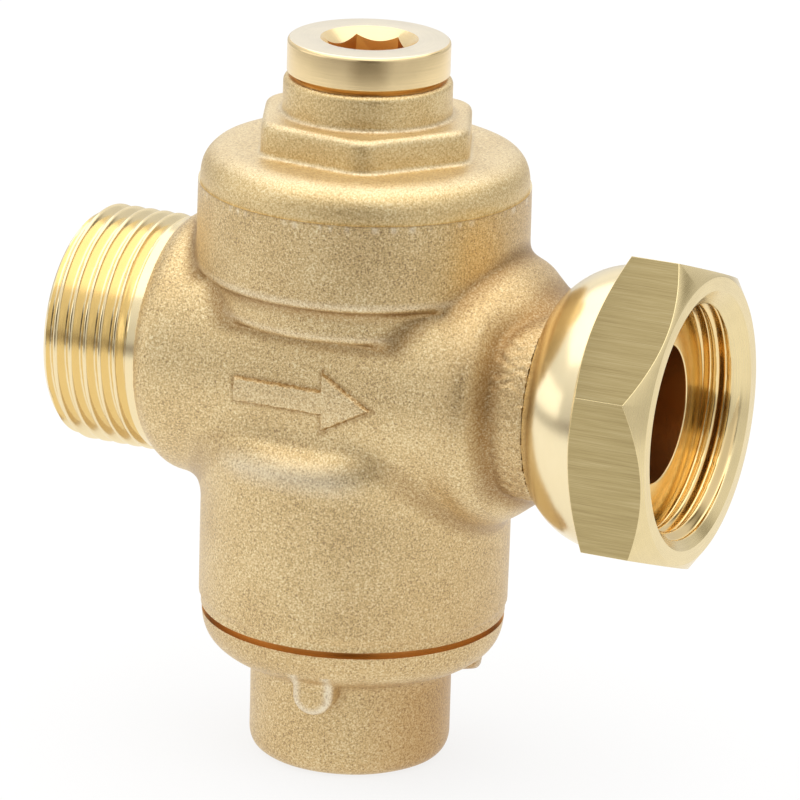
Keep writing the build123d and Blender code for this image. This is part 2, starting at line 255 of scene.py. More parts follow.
def fieldMesh(name, field, low, high, cell):
    low = np.array(low, float)
    axes = [np.arange(a - cell, b + 2 * cell, cell) for a, b in zip(low, high)]
    value = field(*np.meshgrid(*axes, indexing="ij", sparse=True)).astype(np.float32)
    strides = np.array([value.shape[1] * value.shape[2], value.shape[2], 1])
    spots, rings, quads = [], [], []
    for axis in range(3):
        here = value[tuple(slice(0, -1) if a == axis else slice(None) for a in range(3))]
        there = value[tuple(slice(1, None) if a == axis else slice(None) for a in range(3))]
        cross = np.argwhere((here < 0) != (there < 0))
        first, second = here[tuple(cross.T)], there[tuple(cross.T)]
        place = cross.astype(float)
        place[:, axis] += first / (first - second)
        ring = []
        for du, dv in ((0, 0), (1, 0), (1, 1), (0, 1)):
            around = cross.copy()
            around[:, (axis + 1) % 3] -= du
            around[:, (axis + 2) % 3] -= dv
            ring.append(around @ strides)
        ring = np.stack(ring, 1)
        spots.append(np.repeat(low - cell + cell * place, 4, axis=0))
        rings.append(ring.ravel())
        quads.append(np.where((first < 0)[:, None], ring, ring[:, ::-1]))
    used, index = np.unique(np.concatenate(rings), return_inverse=True)
    spots = np.concatenate(spots)
    count = np.bincount(index)
    points = np.stack([np.bincount(index, spots[:, a]) / count for a in range(3)], 1)
    for _ in range(2):                     # onto the surface itself
        points -= pull(field, points, cell)
    faces = np.searchsorted(used, np.concatenate(quads))
    return meshPiece(name, points, faces.tolist())


def pull(field, points, most, reach=0.02):
    slope = np.stack([
        (field(*(points + reach * side).T) - field(*(points - reach * side).T)) / (2 * reach)
        for side in np.eye(3)], 1)
    size = np.maximum((slope * slope).sum(1), 0.05)
    move = field(*points.T) / size
    return np.clip(move, -most, most)[:, None] * slope


def uneven(x, y, z, size, seed):
    # A slow waviness from -1 to 1, as a forging die leaves it
    a = np.sin(x / size + seed) * np.sin(y / size * 1.3 + 2 * seed)
    b = np.sin(z / size * 0.9 - seed) * np.sin((x + y) / size * 0.6 + seed * 3)
    return (a + b) / 2


# Materials

class Wire:
    def __init__(self, finish, socket):
        self.finish = finish
        self.socket = socket

    def math(self, operation, other, first=True):
        pair = {0: self, 1: other} if first else {0: other, 1: self}
        return self.finish.node("ShaderNodeMath", {"operation": operation}, pair)

    def __add__(self, other):
        return self.math("ADD", other)

    def __sub__(self, other):
        return self.math("SUBTRACT", other)

    def __rsub__(self, other):
        return self.math("SUBTRACT", other, False)

    def __mul__(self, other):
        return self.math("MULTIPLY", other)

    def __truediv__(self, other):
        return self.math("DIVIDE", other)

    def __pow__(self, other):
        return self.math("POWER", other)

    __radd__ = __add__
    __rmul__ = __mul__

    def limited(self, low=0.0, high=1.0):
        return self.finish.node("ShaderNodeClamp", {}, {0: self, "Min": low, "Max": high})


class Finish:
    def __init__(self, name, tree=None):
        if tree is None:
            self.material = bpy.data.materials.new(name)
            self.material.use_nodes = True
            tree = self.material.node_tree
        self.tree = tree
        self.tree.nodes.clear()

    def node(self, kind, settings=None, inputs=None, output=0):
        made = self.tree.nodes.new(kind)
        for key, value in (settings or {}).items():
            if key == "stops":
                ramp = made.color_ramp
                ramp.elements.remove(ramp.elements[1])
                ramp.elements[0].position, ramp.elements[0].color = value[0]
                for place, colour in value[1:]:
                    ramp.elements.new(place).color = colour
            else:
                setattr(made, key, value)
        for key, value in (inputs or {}).items():
            if isinstance(value, Wire):
                self.tree.links.new(value.socket, made.inputs[key])
            else:
                made.inputs[key].default_value = value
        return Wire(self, made.outputs[output]) if made.outputs else None

    def place(self):
        # The spot on the piece, in millimetres
        spot = self.node("ShaderNodeTexCoord", {}, {}, "Object")
        return self.node("ShaderNodeVectorMath", {"operation": "SCALE"}, {0: spot, "Scale": 1 / mm})

    def stretched(self, vector, factors):
        return self.node("ShaderNodeVectorMath", {"operation": "MULTIPLY"}, {0: vector, 1: factors})

    def noise(self, vector, scale, detail=2.0, roughness=0.5):
        return self.node("ShaderNodeTexNoise", {}, {
            "Vector": vector, "Scale": scale, "Detail": detail, "Roughness": roughness}, "Fac")

    def mix(self, factor, a, b, blend="MIX"):
        return self.node("ShaderNodeMix", {"data_type": "RGBA", "blend_type": blend},
                         {0: factor, 6: a, 7: b}, 2)

    def ramp(self, factor, stops):
        return self.node("ShaderNodeValToRGB", {"stops": stops}, {0: factor})

    def bump(self, height, strength, distance):
        return self.node("ShaderNodeBump", {}, {
            "Height": height, "Strength": strength, "Distance": distance * mm})

    def attribute(self, name):
        return self.node("ShaderNodeAttribute", {"attribute_name": name}, {}, "Fac")

    def seenDirectly(self):
        # 1 for the camera, and for what mirrors and glass show
        seen = [self.node("ShaderNodeLightPath", {}, {}, ray) for ray in (
            "Is Camera Ray", "Is Glossy Ray", "Is Transmission Ray")]
        return (seen[0] + seen[1] + seen[2]).limited()

    def surface(self, **values):
        names = {"colour": "Base Color", "metallic": "Metallic", "roughness": "Roughness",
                 "normal": "Normal", "gloss": "Coat Weight", "glossRoughness": "Coat Roughness"}
        shader = self.node("ShaderNodeBsdfPrincipled", {}, {names[k]: v for k, v in values.items()})
        self.node("ShaderNodeOutputMaterial", {}, {"Surface": shader})
        return self.material


blasted = {
    "light": (0.98, 0.87, 0.58, 1),        # palest specks of the blasted skin
    # painted shade for corners, grooves, seams and the arrow's edges
    "crease": (0.28, 0.14, 0.035, 1),
    # pale colour for painted highlights on rims and ledges, and for rubbed wear
    "wear": (0.94, 0.88, 0.73, 1),
    "warm": (0.72, 0.60, 0.48, 1),         # tint for painted shade, and a slight tint over the cap
    "gloss": 0.3,                          # pale sheen seen at a flat angle
    "grain": 4.6,                          # specks per millimetre
    "roughness": 0.42,
    "bump": 0.7,
}


def blastedBrass(name, deep, base, contrast):
    f = Finish(name)
    place = f.place()
    grain = f.noise(place, blasted["grain"], 3, 0.62)
    fine = f.noise(place, blasted["grain"] * 2.3, 1, 0.5)
    patch = f.noise(place, 0.16, 2, 0.5)
    speck = (grain * 0.65 + fine * 0.35 - 0.5) * contrast + 0.5
    speck = speck + (patch - 0.5) * 0.3
    colour = f.ramp(speck.limited(), [
        (0.0, deep), (0.5, base), (1.0, blasted["light"])])
    crease, wear, stain = [f.attribute(kind) for kind in ("crease", "wear", "stain")]
    # Browner tint where painted shade is marked
    colour = f.mix((stain * (0.7 + patch * 0.6)).limited(), colour, blasted["warm"], "MULTIPLY")
    # Painted shade mixed in where a crease is marked
    shade_share = (crease * 0.75 + (speck - 0.5) * crease * -0.5).limited()
    colour = f.mix(shade_share, colour, blasted["crease"])
    # Painted highlight, and some rubbed wear, where it is marked
    bright = (wear * (0.35 + speck * 0.7)).limited()
    colour = f.mix(bright, colour, blasted["wear"])
    roughness = (blasted["roughness"] + (grain - 0.5) * 0.5).limited(0.25, 0.7)
    normal = f.bump(grain * 0.65 + fine * 0.35, blasted["bump"], 0.09)
    return f.surface(colour=colour, metallic=1.0, roughness=roughness, normal=normal,
                     gloss=blasted["gloss"], glossRoughness=0.5)


def polishedBrass(name, colour=(0.93, 0.78, 0.48, 1), roughness=0.17):
    f = Finish(name)
    place = f.place()
    mottle = f.noise(place, 0.5, 3, 0.6)
    tint = f.mix(mottle * 0.35, colour, tuple(c * s for c, s in zip(colour, (0.92, 0.86, 0.74, 1))))
    fine = f.noise(f.stretched(place, (9, 1.2, 1.2)), 1.0, 2, 0.6)
    return f.surface(colour=tint, metallic=1.0, roughness=(roughness + (fine - 0.5) * 0.1),
                     normal=f.bump(fine, 0.12, 0.01))


def milledBrass(name, tone):
    # Nut flats: fine cutter lines along the nut
    f = Finish(name)
    spot = f.place()
    lines = f.noise(f.stretched(spot, (0.16, 13, 13)), 1.0, 3, 0.7)
    wide = f.noise(f.stretched(spot, (0.05, 2.4, 2.4)), 1.0, 2, 0.5)
    mixed = ((lines - 0.5) * 1.2 + (wide - 0.5) * 0.45 + 0.5).limited()
    shades = (0.26, 0.19, 0.09), (0.43, 0.34, 0.16), (0.60, 0.50, 0.29)
    colour = f.ramp(mixed, [(place, tuple(c * tone for c in shade) + (1,))
                            for place, shade in zip((0.0, 0.5, 1.0), shades)])
    return f.surface(colour=colour, metallic=1.0, roughness=0.44 + lines * 0.1,
                     normal=f.bump(lines, 0.3, 0.015))


def turnedBrass(name, axis, colour, roughness, marks=0.25):
    # Fine rings around an axis, as a lathe leaves them
    f = Finish(name)
    place = f.place()
    x, y, z = [f.node("ShaderNodeSeparateXYZ", {}, {0: place}, side) for side in range(3)]
    along, first, second = (x, y, z - flow) if axis == "X" else (z, x, y)
    radius = (first * first + second * second) ** 0.5
    rings = f.node("ShaderNodeCombineXYZ", {}, {0: radius * 7.0, 1: along * 7.0})
    lines = f.noise(f.node("ShaderNodeVectorMath", {}, {0: rings, 1: f.stretched(
        place, (0.12, 0.12, 0.12))}), 1.0, 3, 0.65)
    patch = f.noise(place, 0.45, 2, 0.5)
    tint = f.mix((lines * 0.7 + patch * 0.5 - 0.3).limited(), colour,
                 tuple(c * 0.78 for c in colour[:3]) + (1,))
    return f.surface(colour=tint, metallic=1.0, roughness=roughness + lines * 0.1,
                     normal=f.bump(lines, marks, 0.012))


def plainSteel(name):
    f = Finish(name)
    lines = f.noise(f.place(), 2.0, 3, 0.6)
    return f.surface(colour=f.mix(lines, (0.48, 0.48, 0.47, 1), (0.62, 0.62, 0.60, 1)),
                     metallic=1.0, roughness=0.3)


def blackRubber(name):
    f = Finish(name)
    spots = f.noise(f.place(), 3.0, 2, 0.6)
    return f.surface(colour=f.mix(spots, (0.015, 0.015, 0.015, 1), (0.03, 0.03, 0.03, 1)),
                     metallic=0.0, roughness=0.45)


forgedSkin = blastedBrass("forged_skin", (0.30, 0.19, 0.10, 1), (0.73, 0.53, 0.25, 1), 3.1)
coverSkin = blastedBrass("cover_skin", (0.42, 0.27, 0.11, 1), (0.77, 0.57, 0.27, 1), 2.7)
threadBrass = polishedBrass("thread_brass")
# Darker, browner brass for bores, the socket and the cap's land: painted shade in these recesses
boreShadeBrass = polishedBrass("bore_shade_brass", (0.66, 0.37, 0.13, 1), 0.3)
domeBrass = polishedBrass("dome_brass", (0.95, 0.81, 0.52, 1), 0.2)
nutThreadBrass = polishedBrass("nut_thread_brass", (0.91, 0.70, 0.36, 1), 0.13)
# Dark brass for the gap under the plug head: painted shade in the gap
gapShadeBrass = polishedBrass("gap_shade_brass", (0.80, 0.52, 0.20, 1), 0.3)
chamferBrass = turnedBrass("chamfer_brass", "X", (0.87, 0.71, 0.39, 1), 0.22)
faceBrass = turnedBrass("face_brass", "X", (0.92, 0.74, 0.40, 1), 0.13, 0.12)
plugBrass = turnedBrass("plug_brass", "Z", (0.95, 0.74, 0.41, 1), 0.2, 0.4)
paleBrass = turnedBrass("pale_brass", "Z", (0.94, 0.85, 0.67, 1), 0.26)
# Lit and shaded copies of the milled finish, for alternate flats: painted light and shade
litFlats = milledBrass("milled_brass_lit", 1.17)
shadedFlats = milledBrass("milled_brass_shaded", 0.76)
steel = plainSteel("plain_steel")
rubber = blackRubber("black_rubber")
print("materials: made")


def painted(piece, materials, choose):
    # choose gives a material's index for each face, from its middle and its normal
    mesh = piece.data
    mesh.materials.clear()
    for material in materials:
        mesh.materials.append(material)
    count = len(mesh.polygons)
    middle, normal = np.empty(count * 3), np.empty(count * 3)
    mesh.polygons.foreach_get("center", middle)
    mesh.polygons.foreach_get("normal", normal)
    chosen = choose(*(middle.reshape(-1, 3) / mm).T, *normal.reshape(-1, 3).T)
    mesh.polygons.foreach_set("material_index", np.broadcast_to(chosen, count).astype(np.int32))
    return piece


def marked(piece, name, measure):
    # A value from 0 to 1 on each point, for the material to read
    mesh = piece.data
    points = np.empty(len(mesh.vertices) * 3)
    mesh.vertices.foreach_get("co", points)
    values = unit(measure(*(points.reshape(-1, 3) / mm).T))
    mesh.attributes.new(name, "FLOAT", "POINT").data.foreach_set("value", values)
    return piece


def finished(piece, body, slot, *nodes):
    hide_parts(*nodes)
    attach(piece, body)
    print(f"{piece.name}: {len(piece.data.polygons)} faces")
    return piece


# Forged body

forging = {
    "cell": 0.355,
    "lowerRadius": 17.1, "lowerRim": 2.6, "lowerTrim": 0.25, "trimHeight": 1.3,
    "waist": 7.0,                          # flow axis to the round parts, up and down
    "bandRadius": 16.5, "bandHeight": 4.0, "bandRim": 1.0,
    "upperRadius": 18.12, "upperRim": 0.9,
    "barrelInlet": 14.8, "barrelOutlet": 15.0,
    "inletEdge": 19.8, "shoulder": 21.1, "shoulderRadius": 13.35, "inletBlend": 1.2,
    "outletEdge": 18.4, "outletBlend": 1.3,
    "coneEnd": 23.1, "spigotRadius": 11.4,     # above and below
    "frontEnd": 20.5, "frontRadius": 12.5,     # front and back, with a groove at the cone's foot
    "grooveDepth": 0.35, "spigotBlend": 0.7, "upperBlend": 1.3,
    "lowerBlend": (5.4, 2.4),                  # at the middle and at the sides
    "spigotGap": 0.06,                         # to the swivel nut
    "waviness": 0.05,
}


def coneBeyond(x, tube, near, far):
    # Distance outside the cone through two (x, radius) points
    along, drop = far[0] - near[0], near[1] - far[1]
    return ((x - near[0]) * drop + (tube - near[1]) * along) / np.hypot(along, drop)


def sideways(y, tube):
    # 1 at the front and back of the barrel, 0 above and below it
    share = unit((np.abs(y) / np.maximum(tube, 0.1) - 0.35) / 0.45)
    return eased(share)


def barrelRadius(x):
    g = forging
    slope = (g["barrelOutlet"] - g["barrelInlet"]) / (g["outletEdge"] + g["inletEdge"])
    return g["barrelInlet"] + (x + g["inletEdge"]) * slope


def coneFoot(side):
    return forging["coneEnd"] + (forging["frontEnd"] - forging["coneEnd"]) * side


def forgedParts(x, y, z):
    g = forging
    rho = fromAxis(x, y)
    tube = fromFlow(y, z)
    barrel = tube - barrelRadius(x)
    side = sideways(y, tube)
    foot = coneFoot(side)
    footRadius = g["spigotRadius"] + (g["frontRadius"] - g["spigotRadius"]) * side
    barrel = softHigh(barrel, coneBeyond(
        x, tube, (g["outletEdge"], g["barrelOutlet"]), (foot, footRadius)), g["outletBlend"])
    barrel = softHigh(barrel, coneBeyond(
        -x, tube, (g["inletEdge"], g["barrelInlet"]), (g["shoulder"], g["shoulderRadius"])),
        g["inletBlend"])
    spigotEnd = nutLow[0] - g["spigotGap"]
    barrel = np.maximum(barrel, np.maximum(-x - g["shoulder"], x - spigotEnd + 0.6))
    groove = g["grooveDepth"] * side * np.exp(-((x - foot) / 0.75) ** 2)
    around = np.arctan2(z - flow, y)
    ridges = 0.05 * np.sin(around * 57 + 2 * np.sin(x * 1.7 + around * 9))
    ridges = ridges + 0.05 * np.sin(around * 83 - 3 * np.sin(x * 2.3 + around * 7))
    ridges = ridges * unit((x - foot) / 0.8)
    spigot = softHigh(tube - footRadius + groove + ridges * side,
                      np.abs(x - 10) - (spigotEnd - 10), 0.3)
    trim = unit((bodyBottom + g["trimHeight"] - z) / 0.4)
    lower = softHigh(rho - g["lowerRadius"] + g["lowerTrim"] * trim, z - flow + g["waist"],
                     g["lowerRim"])
    lower = np.maximum(lower, bodyBottom - 2 - z)
    band = softHigh(rho - g["bandRadius"], flow + g["waist"] - z, g["bandRim"])
    band = np.maximum(band, z - bodyTop)
    upper = softHigh(rho - g["upperRadius"], flow + g["waist"] + g["bandHeight"] - z,
                     g["upperRim"])
    upper = np.maximum(upper, z - bodyTop - 2)
    return barrel, spigot, lower, band, upper


def forgedField(x, y, z):
    g = forging
    barrel, spigot, lower, band, upper = forgedParts(x, y, z)
    whole = softLow(barrel, spigot, g["spigotBlend"])
    away = unit((np.abs(x + 1) - 6) / 9)
    blend = g["lowerBlend"][0] + (g["lowerBlend"][1] - g["lowerBlend"][0]) * away
    whole = softLow(whole, lower, blend)
    whole = softLow(whole, band, g["upperBlend"])
    whole = softLow(whole, upper, g["upperBlend"])
    return whole + g["waviness"] * uneven(x, y, z, 2.4, 1.7)


def forgedCreaseShade(x, y, z):
    # How deep a spot lies in a corner between two forged parts, in the groove at the cone's foot or
    # at the seam under the bonnet, for painted shade there
    barrel, spigot, lower, band, upper = forgedParts(x, y, z)
    parts = np.sort(np.stack([barrel, spigot, lower, band, upper]), axis=0)
    hollow = unit(1.15 - np.abs(parts[1] - parts[0]) / 1.5)
    near = unit(1 - np.abs(parts[0]) / 1.2)
    deep = hollow * near * (parts[1] > -1.0)
    side = sideways(y, fromFlow(y, z))
    foot = coneFoot(side)
    groove = unit(1.1 - np.abs(x - foot) / 1.5) * (0.55 + 0.45 * side)
    seam = 0.7 * unit(1 - np.abs(z - bodyTop) / 0.2)
    return np.maximum(np.maximum(deep, groove), seam)


def forgedWearAndHighlight(x, y, z):
    # Painted highlight on the rims that stand out, on the ledge above the lower body and in flecks
    # on the top rim; the raised arrow a little lighter as rubbed wear
    barrel, spigot, lower, band, upper = forgedParts(x, y, z)
    g = forging
    lip = flow + g["waist"] + g["bandHeight"]
    others = np.minimum(np.minimum(barrel, lower), spigot)
    clear = unit((others - 0.3) / 0.8)
    rims = unit(1 - np.abs(z - lip - 0.75) / 0.55) * (upper < band)
    rims = np.maximum(rims, 0.7 * unit(
        1 - np.abs(z - flow - g["waist"] - 0.75) / 0.5) * (band < upper))
    fleck = unit(2.2 * np.sin(x * 3.1 + y) * np.sin(y * 2.3 - x * 1.7) - 0.6)
    top = unit(1 - np.abs(z - bodyTop + 0.4) / 0.35) * fleck
    ledge = unit(1 - np.abs(z - lip + g["bandHeight"] + 2 * g["waist"] + 1.3) / 2.2)
    ledge = 0.5 * ledge * unit((9.5 - np.abs(x + 1)) / 4) * (y < 0)
    sign = unit(-arrowDistance(x, z - flow) / 0.3) * (y < -12)
    return np.maximum(np.maximum(0.4 * rims * clear, ledge), np.maximum(top, 0.1 * sign))


def forgedTintAndShade(x, y, z):
    # Browner towards the bottom and the outlet: painted shade low down, on the outlet side and
    # beside the nut
    low = unit((flow - 8 - z) / 20)
    outlet = 0.35 * unit((x - 14) / 4) * unit((z - flow + 4) / 6)
    return (0.1 * low + 0.35 * low * unit((x - 2) / 14)
            + np.maximum(0.3 * unit(x - 20.5), outlet))


# Flow arrow, raised on the front of the barrel

arrow = {
    "tail": -8.0, "neck": 2.4, "tip": 8.25, "shaftHalf": 1.35, "headHalf": 3.28,
    "height": 0.45, "sink": 0.2, "slope": 0.42, "margin": 0.6, "cell": 0.11,
}


def arrowDistance(x, z):
    a = arrow
    shaft = np.maximum(np.abs(x - (a["tail"] + a["neck"] + 0.4) / 2)
                       - (a["neck"] + 0.4 - a["tail"]) / 2, np.abs(z) - a["shaftHalf"])
    length = a["tip"] - a["neck"]
    side = ((x - a["neck"]) * a["headHalf"] + np.abs(z) * length
            - length * a["headHalf"]) / np.hypot(length, a["headHalf"])
    return np.minimum(shaft, np.maximum(side, a["neck"] - x))


def ragged(x, z):
    # The arrow's edge as it came out of the die, not quite straight
    rough = np.sin(x * 4.1 + z * 2.3) + np.sin(x * 7.3 - z * 5.9 + 1) + np.sin(z * 9.7 + x * 2.9)
    return arrowDistance(x, z) + 0.028 * rough


def arrowPatch():
    a = arrow
    xs = np.arange(a["tail"] - a["margin"], a["tip"] + a["margin"], a["cell"])
    zs = np.arange(-a["headHalf"] - a["margin"], a["headHalf"] + a["margin"], a["cell"])
    x, z = np.meshgrid(xs, zs, indexing="ij")
    raised = unit(0.5 - ragged(x, z) / a["slope"])
    radius = barrelRadius(x) - a["sink"] + (a["height"] + a["sink"]) * eased(raised)
    radius = radius - forging["waviness"] * uneven(x, -radius, z + flow, 2.4, 1.7)
    front = np.stack([x, -np.sqrt(radius ** 2 - z ** 2), z + flow], -1).reshape(-1, 3)
    back = front.copy()
    back[:, 1] = -12.0
    rows, columns = x.shape
    number = np.arange(rows * columns).reshape(rows, columns)
    quads = np.stack([number[:-1, :-1], number[1:, :-1], number[1:, 1:], number[:-1, 1:]], -1)
    quads = quads.reshape(-1, 4)
    rim = np.concatenate([number[:, 0], number[-1, 1:], number[-2::-1, -1], number[0, -2:0:-1]])
    skirt = [(rim[i], rim[i - 1], rim[i - 1] + len(front), rim[i] + len(front))
             for i in range(len(rim))]
    faces = quads.tolist() + (quads[:, ::-1] + len(front)).tolist() + [
        [int(v) for v in side] for side in skirt]
    return meshPiece("arrow", np.concatenate([front, back]), faces)


# Inlet thread, G 3/4

pipeThread = {
    "pitch": 1.814, "major": 13.22, "minor": 12.1, "firstCrest": 0.9, "steep": 1.4,
    "chamferRadius": 12.2, "relief": 1.5, "reliefRadius": 13.0, "perPitch": 18,
}


def threadWave(x, angle, start, pitch, steep):
    turn = ((x - start) / pitch - angle / (2 * pi)) % 1
    wave = (4 * np.abs(turn - 0.5) - 1) * steep
    return wave / (1 + np.abs(wave) ** 5) ** 0.2


def inletRadius(x, angle):
    t = pipeThread
    middle, half = (t["major"] + t["minor"]) / 2, (t["major"] - t["minor"]) / 2
    start = inletEnd + t["firstCrest"]
    radius = middle + half * threadWave(x, angle, start, t["pitch"], t["steep"])
    radius = np.minimum(radius, t["chamferRadius"] + (x - inletEnd))
    fade = unit((x + forging["shoulder"] + t["relief"]) / 0.35)
    return radius * (1 - fade) + t["reliefRadius"] * fade


bores = {                                  # radii of the body's bores, and how far they go
    "cap": 13.6, "capDepth": 7.2, "balance": 10.4, "seat": 7.0, "piston": 11.5,
    "bonnet": 14.0, "bonnetDepth": 5.75, "inlet": 8.25, "inletDepth": 17.6,
    "outlet": 7.6, "outletStart": 14.0, "tail": 9.75, "tailStart": 18.1,
}


def makeBody():
    g = forging
    body = fieldMesh("regulator_body", forgedField,
                     (-g["shoulder"] - 0.4, -19, bodyBottom - 2.5),
                     (outletEnd + 0.6, 19, bodyTop + 2.5), g["cell"])
    above = drum("above", bodyTop)
    below = drum("below", bodyBottom - drumHeight, bodyBottom)
    b = bores
    capTop, bonnetFoot = bodyBottom + b["capDepth"], bodyTop - b["bonnetDepth"]
    chambers = turned("chambers", "Z", [
        (bodyBottom - 1, 0), (bodyBottom - 1, b["cap"]), (capTop, b["cap"]),
        (capTop, b["balance"]), (seatLow[2], b["balance"]), (seatLow[2], b["seat"]),
        (seatHigh[2], b["seat"]), (seatHigh[2], b["piston"]), (bonnetFoot, b["piston"]),
        (bonnetFoot, b["bonnet"]), (bodyTop + 1, b["bonnet"]), (bodyTop + 1, 0)], 120)
    body = combined(body, "DIFFERENCE", above, below)
    body = combined(body, "UNION", arrowPatch())
    t = pipeThread
    places = np.arange(inletEnd, -g["shoulder"] + 0.01, t["pitch"] / t["perPitch"])
    thread = threaded("thread", list(places) + [-g["shoulder"] + 0.3], inletRadius)
    body = combined(body, "UNION", thread)
    inlet = turned("inlet", "X", [
        (inletEnd - 1, 0), (inletEnd - 1, b["inlet"] + 1.4), (inletEnd + 0.4, b["inlet"]),
        (inletEnd + b["inletDepth"], b["inlet"]), (inletEnd + b["inletDepth"], 0)], 120)
    outlet = turned("outlet", "X", [
        (b["outletStart"], 0), (b["outletStart"], b["outlet"]), (b["tailStart"], b["outlet"]),
        (b["tailStart"], b["tail"]), (outletEnd + 1, b["tail"]), (outletEnd + 1, 0)], 120)
    waterIn = rod("waterIn", 5.0, (-16.5, 0, flow - 3.2), (-6.0, 0, flow - 11.5))
    waterOut = rod("waterOut", 3.8, (15.5, 0, flow + 1.0), (7.0, 0, flow + 4.5))
    body = combined(body, "DIFFERENCE", chambers, inlet, outlet, waterIn, waterOut)

    def choose(x, y, z, nx, ny, nz):
        tube = fromFlow(y, z)
        rho = fromAxis(x, y)
        kind = np.zeros(len(x), int)
        kind[(x < -g["shoulder"] + 0.02) & (tube < 13.4)] = 1
        kind[(z > bodyTop - 0.01) | (z < bodyBottom + 0.01)] = 1
        # Bores, chambers and floors take the darker bore brass, painted shade inside them
        bores = (tube < 9.8) & ((x < -14.9) | (x > 13.9)) & (np.abs(nx) < 0.95)
        chambers = (rho < 14.05) & (nx * x + ny * y < -0.5 * rho)
        floors = (rho < 14.0) & (np.abs(nz) > 0.9) & (np.abs(tube) < 14.0)
        kind[bores | chambers | floors] = 2
        return kind

    painted(body, [forgedSkin, threadBrass, boreShadeBrass], choose)

    # Painted shade in the forged corners and along the foot of the raised arrow
    def paintedShade(x, y, z):
        rough = 0.75 + 0.35 * np.sin(x * 5.3 + z * 3.1) * np.sin(z * 6.1 - x * 2.2)
        line = unit(1.2 - np.abs(ragged(x, z - flow) - 0.14) / 0.28) * (y < -12)
        return np.maximum(forgedCreaseShade(x, y, z), 0.9 * line * rough)

    marked(body, "crease", paintedShade)
    marked(body, "wear", forgedWearAndHighlight)
    marked(body, "stain", forgedTintAndShade)
    return finished(smooth(body), "housing", "blasted_brass", "body")


makeBody()


# Bonnet

bonnet = {
    "cell": 0.27, "radius": 17.88, "height": 3.95, "round": 3.6,
    "hex": 22.5, "hexHeight": 3.8, "hexCorner": -67.0, "hexRound": 1.9, "hexRim": 1.0,
    "neckRadius": 9.19, "blend": 0.55, "spigotRadius": 13.95, "roomRadius": 9.3,
    "roof": 6.3, "plugBore": 7.0, "neckRim": 0.7,
}


def hexDistance(x, y, across, cornerAngle, blend):
    field = None
    for side in range(6):
        angle = radians(cornerAngle + 30 + 60 * side)
        wall = x * cos(angle) + y * sin(angle) - across / 2
        field = wall if field is None else softHigh(field, wall, blend)
    return field


def bonnetField(x, y, z):
    b = bonnet
    rho = fromAxis(x, y)
    top = bodyTop + b["height"]
    dome = softHigh(rho - b["radius"], z - top, b["round"])
    flats = softHigh(hexDistance(x, y, b["hex"], b["hexCorner"], b["hexRound"]),
                     z - top - b["hexHeight"], b["hexRim"])
    neck = softHigh(rho - b["neckRadius"], z - neckTop, b["neckRim"])
    whole = softLow(softLow(dome, flats, b["blend"]), neck, b["blend"])
    whole = np.maximum(whole, bodyTop - 1 - z)
    return whole + 0.03 * uneven(x, y, z, 1.9, 0.6)


def makeBonnet():
    b = bonnet
    piece = fieldMesh("bonnet_shell", bonnetField, (-18.5, -18.5, bodyTop - 1.5),
                      (18.5, 18.5, neckTop + 1.5), b["cell"])
    above = drum("above", neckTop)
    below = drum("below", bodyTop - drumHeight, bodyTop)
    spigot = turned("spigot", "Z", [(bonnetLow[2], 0), (bonnetLow[2], b["spigotRadius"]),
                                    (bodyTop + 0.5, b["spigotRadius"]), (bodyTop + 0.5, 0)])
    roof = bodyTop + b["roof"]
    room = turned("room", "Z", [
        (bonnetLow[2] - 1, 0), (bonnetLow[2] - 1, b["roomRadius"]), (roof, b["roomRadius"]),
        (roof, b["plugBore"]), (neckTop + 1, b["plugBore"]), (neckTop + 1, 0)])
    piece = combined(piece, "DIFFERENCE", above, below)
    piece = combined(piece, "UNION", spigot)
    piece = combined(piece, "DIFFERENCE", room)

    def choose(x, y, z, nx, ny, nz):
        rho = fromAxis(x, y)
        kind = np.zeros(len(x), int)
        kind[z < bodyTop + 0.01] = 1
        # The neck's top under the plug head takes the gap brass, painted shade in the gap
        kind[(rho < b["neckRadius"] - 0.7) & (z > neckTop - 0.05)] = 2
        kind[(rho < 9.0) & (np.abs(nz) < 0.5)] = 1
        return kind

    painted(piece, [coverSkin, threadBrass, gapShadeBrass], choose)
    # Painted shade in the corner at the neck's foot on the hexagon
    top = bodyTop + b["height"]
    marked(piece, "crease", lambda x, y, z: 0.35 * unit(
        1 - np.abs(z - top - b["hexHeight"] - 0.1) / 0.5) * (fromAxis(x, y) < 9.9))

    def wear(x, y, z):
        # Painted highlight on the level tops, on the hexagon's rim and in its foot
        rho = fromAxis(x, y)
        side = hexDistance(x, y, b["hex"], b["hexCorner"], b["hexRound"])
        hexTop = top + b["hexHeight"]
        level = np.maximum(unit(1.4 - np.abs(z - top) / 0.9) * (side > 0.2),
                           unit(1.4 - np.abs(z - hexTop) / 0.5) * (rho > 9.4))
        foot = unit(1 - np.hypot(side, z - top) / 0.45)
        foot = np.maximum(foot, unit(
            1 - np.hypot(rho - b["neckRadius"], z - hexTop) / 0.45))
        return np.maximum(0.25 * level, 0.7 * foot)

    marked(piece, "wear", wear)
    return finished(smooth(piece), "housing", "turned_brass", "bonnet")


makeBonnet()


# Bottom cap

cap = {
    "cell": 0.3, "flangeRadius": 16.76, "flangeBottom": 11.3, "flangeSlope": 0.16,
    "flangeRound": 4.4, "bossRadius": 11.15, "footRound": 2.5, "blend": 1.5,
    "lugWidth": 4.5, "lugBottom": 8.4, "lugReach": 14.6, "lugAngle": -82.0, "lugs": 3,
    "lugRound": 0.9, "lugBlend": 0.5, "landRadius": 15.6, "groove": 0.75, "spigotRadius": 13.55,
    "spigotHeight": 6.6, "collar": 8.6, "bore": 6.5, "boreFloor": 5.8,
}


